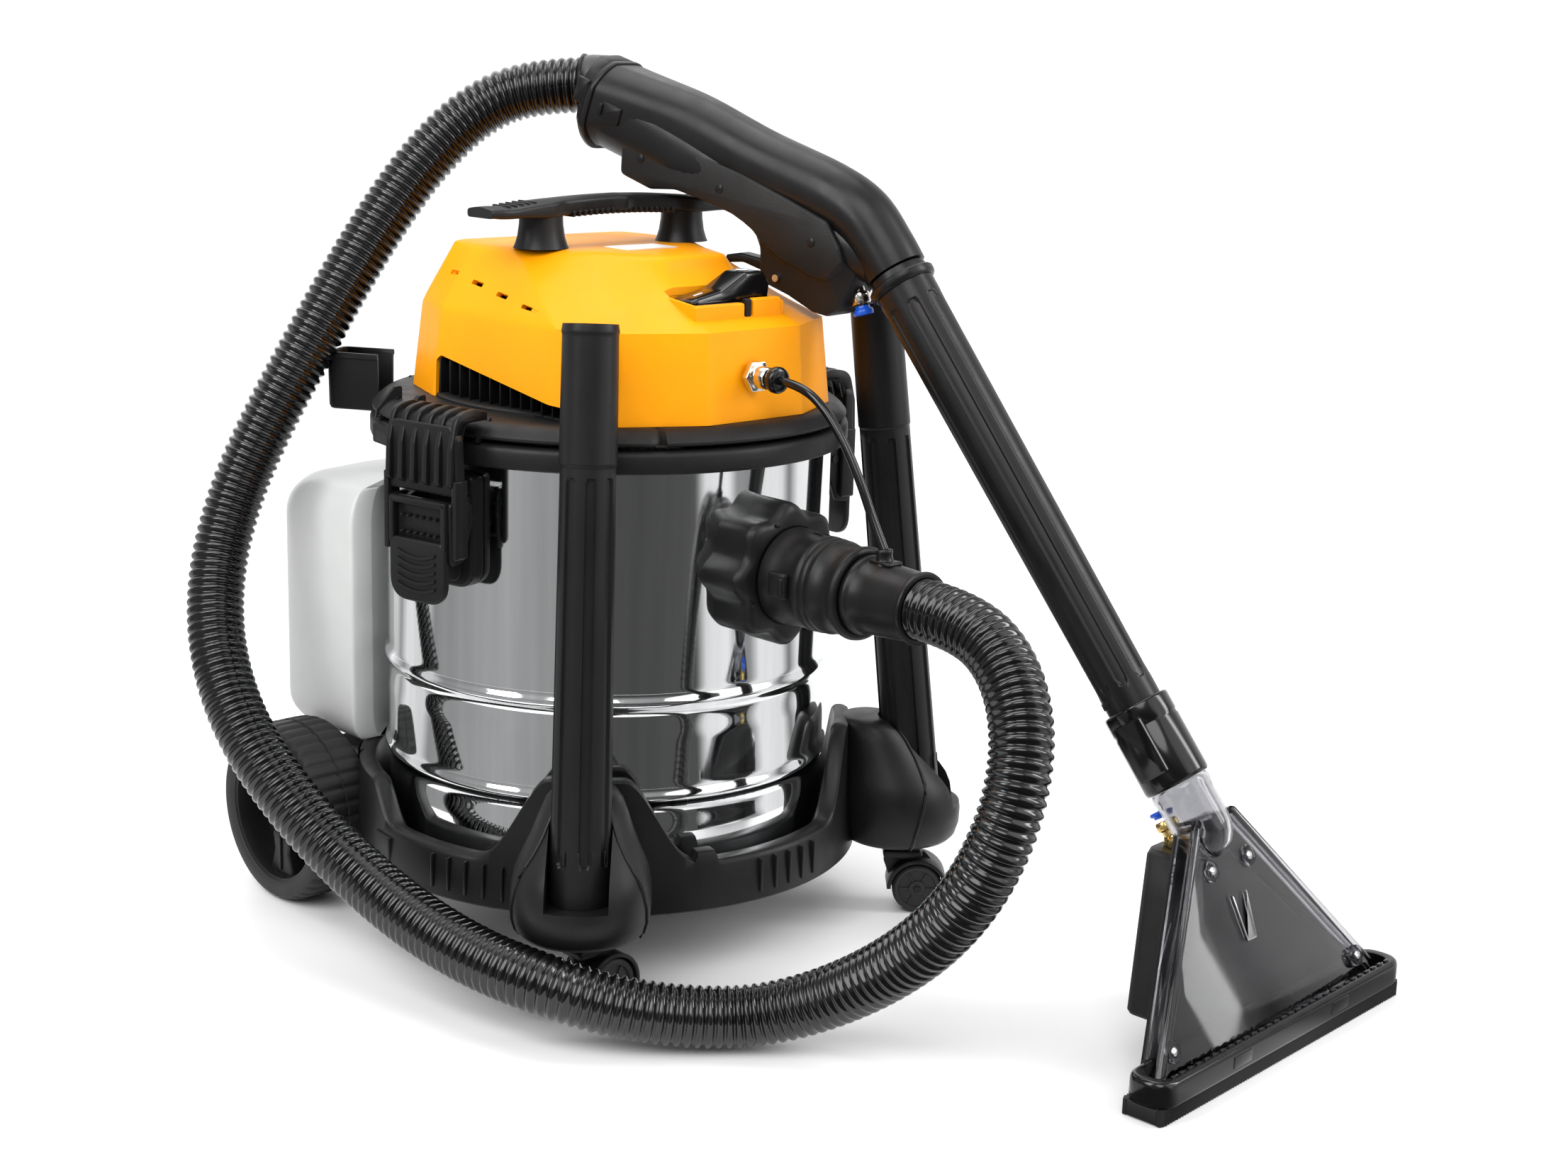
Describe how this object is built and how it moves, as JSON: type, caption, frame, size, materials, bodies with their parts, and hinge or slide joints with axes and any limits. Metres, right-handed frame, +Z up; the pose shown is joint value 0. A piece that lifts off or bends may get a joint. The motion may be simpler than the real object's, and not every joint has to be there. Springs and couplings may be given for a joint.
{
  "type": "carpet cleaner machine",
  "caption": "Wheeled drum machine that sprays and vacuums carpets, with a front hose, trigger handle, wand and clear floor nozzle.",
  "frame": {"origin": "on the floor, at the centre of the footprint of everything except the two hoses", "axes": "+Z up; -Y is the front, where the hose leaves the drum and the floor nozzle stands; +X is the machine's left-to-right direction seen from the front, towards the nozzle's far end"},
  "size_m": [0.5607, 0.752, 0.6121],
  "materials": {
    "black_plastic": "fine-grained",
    "blue_plastic": "gloss",
    "brass": "plated",
    "clear": "clear plastic",
    "dark_plastic": "satin",
    "drum_shell": "mirror polished stainless steel",
    "filter_cloth": "felt",
    "grey_plastic": "satin",
    "hose": "ribbed",
    "label": "blank label",
    "motor_metal": "cast",
    "nickel": "nickel plated",
    "rubber": "matt",
    "steel": "bright",
    "tank_plastic": "milky white, slightly see-through",
    "tread": "matt",
    "yellow_plastic": "satin"
  },
  "bodies": {
    "machine": {"base_frame": "black_plastic", "front_feet": "black_plastic", "rear_feet": "black_plastic", "rear_axles": "steel", "drum_tank": "drum_shell", "drum_rim_ring": "black_plastic", "lid_gasket": "rubber", "motor_base": "black_plastic", "float_cage": "grey_plastic", "filter_sleeve": "filter_cloth", "top_cover": "yellow_plastic", "vent_louvres": "black_plastic", "rating_plate": "label", "cable_gland": "rubber", "switch_housing": "black_plastic", "carry_handle": "black_plastic", "motor_housing": "motor_metal", "solution_pump": "grey_plastic", "latch_brackets": "black_plastic", "inlet_flange": "black_plastic", "inlet_deflector": "black_plastic", "accessory_holder": "black_plastic", "hose_cuff": "dark_plastic", "solution_connector": "nickel", "handle_cuff": "dark_plastic", "handle_tube": "dark_plastic", "grip_shell": "dark_plastic", "trigger_pin": "steel", "trigger_valve": "brass", "push_in_fittings": "brass", "wand_tube": "dark_plastic", "nozzle_collar": "black_plastic", "nozzle_clear_front": "clear", "nozzle_back_housing": "black_plastic", "nozzle_shoe": "black_plastic", "nozzle_lips": "rubber", "nozzle_screws": "steel", "suction_hose": "hose", "solution_hose": "dark_plastic"},
    "float": {"float_ball": "grey_plastic"},
    "rotor": {"motor_rotor": "steel"},
    "rocker": {"rocker_switch": "black_plastic"},
    "castor_left": {"castor_fork_left": "black_plastic"},
    "castor_right": {"castor_fork_right": "black_plastic"},
    "castor_wheels_left": {"castor_wheel_left": "dark_plastic"},
    "castor_wheels_right": {"castor_wheel_right": "dark_plastic"},
    "wheel_left": {"rear_wheel_left": "tread"},
    "wheel_right": {"rear_wheel_right": "tread"},
    "lever_left": {"latch_lever_left": "black_plastic"},
    "lever_right": {"latch_lever_right": "black_plastic"},
    "claw_left": {"latch_claw_left": "black_plastic"},
    "claw_right": {"latch_claw_right": "black_plastic"},
    "coupling": {"hose_coupling": "dark_plastic"},
    "tank": {"solution_tank": "tank_plastic"},
    "cap": {"tank_cap": "dark_plastic"},
    "spare_left": {"spare_tube_left": "dark_plastic"},
    "spare_right": {"spare_tube_right": "dark_plastic"},
    "trigger_lever": {"trigger": "dark_plastic"},
    "release_ring_handle": {"handle_collet": "blue_plastic"},
    "release_ring_nozzle": {"nozzle_collet": "blue_plastic"}
  },
  "joints": [
    {"name": "castor_swivel_left", "type": "hinge", "parent": "machine", "child": "castor_left", "pos_m": [-0.20105, -0.01791, 0.05], "axis": [0, 0, 1], "continuous": true},
    {"name": "castor_roll_left", "type": "hinge", "parent": "castor_left", "child": "castor_wheels_left", "pos_m": [-0.18405, -0.01791, 0.0185], "axis": [0, 1, 0], "continuous": true},
    {"name": "wheel_roll_left", "type": "hinge", "parent": "machine", "child": "wheel_left", "pos_m": [-0.21989, 0.28596, 0.066], "axis": [1, 0, 0], "continuous": true},
    {"name": "latch_lever_swing_left", "type": "hinge", "parent": "machine", "child": "lever_left", "pos_m": [-0.22619, 0.10505, 0.322], "axis": [-0.1736, 0.9848, 0], "range_deg": [0, 90]},
    {"name": "latch_claw_swing_left", "type": "hinge", "parent": "lever_left", "child": "claw_left", "pos_m": [-0.23456, 0.10358, 0.299], "axis": [-0.1736, 0.9848, 0], "range_deg": [-81, 0]},
    {"name": "spare_tube_lift_left", "type": "slide", "parent": "machine", "child": "spare_left", "axis": [0.0791, 0.081, 0.9936], "range_m": [0, 0.25]},
    {"name": "castor_swivel_right", "type": "hinge", "parent": "machine", "child": "castor_right", "pos_m": [0.09927, -0.01791, 0.05], "axis": [0, 0, 1], "continuous": true},
    {"name": "castor_roll_right", "type": "hinge", "parent": "castor_right", "child": "castor_wheels_right", "pos_m": [0.1115, -0.02972, 0.0185], "axis": [0.6947, 0.7193, 0], "continuous": true},
    {"name": "wheel_roll_right", "type": "hinge", "parent": "machine", "child": "wheel_right", "pos_m": [0.11811, 0.28596, 0.066], "axis": [1, 0, 0], "continuous": true},
    {"name": "latch_lever_swing_right", "type": "hinge", "parent": "machine", "child": "lever_right", "pos_m": [0.12441, 0.10505, 0.322], "axis": [-0.1736, -0.9848, 0], "range_deg": [0, 90]},
    {"name": "latch_claw_swing_right", "type": "hinge", "parent": "lever_right", "child": "claw_right", "pos_m": [0.13278, 0.10358, 0.299], "axis": [-0.1736, -0.9848, 0], "range_deg": [-81, 0]},
    {"name": "spare_tube_lift_right", "type": "slide", "parent": "machine", "child": "spare_right", "axis": [-0.0791, 0.081, 0.9936], "range_m": [0, 0.03]},
    {"name": "switch_rock", "type": "hinge", "parent": "machine", "child": "rocker", "pos_m": [-0.05089, 0.02396, 0.458], "axis": [0, 1, 0], "range_deg": [0, 10]},
    {"name": "trigger_pull", "type": "hinge", "parent": "machine", "child": "trigger_lever", "pos_m": [0.02672, 0.03577, 0.467], "axis": [0.9823, 0.1874, 0], "range_deg": [0, 9], "stiffness_Nm_per_rad": 0.6, "springref_deg": -8.59},
    {"name": "rotor_spin", "type": "hinge", "parent": "machine", "child": "rotor", "pos_m": [-0.05089, 0.13596, 0.42], "axis": [0, 0, 1], "continuous": true},
    {"name": "float_rise", "type": "slide", "parent": "machine", "child": "float", "axis": [0, 0, 1], "range_m": [0, 0.06]},
    {"name": "tank_pull_out", "type": "slide", "parent": "machine", "child": "tank", "axis": [0, 1, 0], "range_m": [0, 0.12]},
    {"name": "cap_turn", "type": "hinge", "parent": "tank", "child": "cap", "pos_m": [-0.05089, 0.34296, 0.31], "axis": [0, 0, 1], "continuous": true},
    {"name": "coupling_turn", "type": "hinge", "parent": "machine", "child": "coupling", "pos_m": [-0.05089, -0.08404, 0.281], "axis": [0, -1, 0], "range_deg": [0, 30]},
    {"name": "handle_ring_press", "type": "slide", "parent": "machine", "child": "release_ring_handle", "axis": [-0.0579, 0.3035, 0.9511], "range_m": [0, 0.0012], "stiffness_N_per_m": 400, "springref_m": -0.0005},
    {"name": "nozzle_ring_press", "type": "slide", "parent": "machine", "child": "release_ring_nozzle", "axis": [0.0345, -0.599, -0.8], "range_m": [0, 0.001], "stiffness_N_per_m": 400, "springref_m": -0.0005}
  ],
  "couplings": [
    {"joint": "latch_claw_swing_left", "follows": "latch_lever_swing_left", "ratio": -0.9},
    {"joint": "latch_claw_swing_right", "follows": "latch_lever_swing_right", "ratio": -0.9}
  ]
}
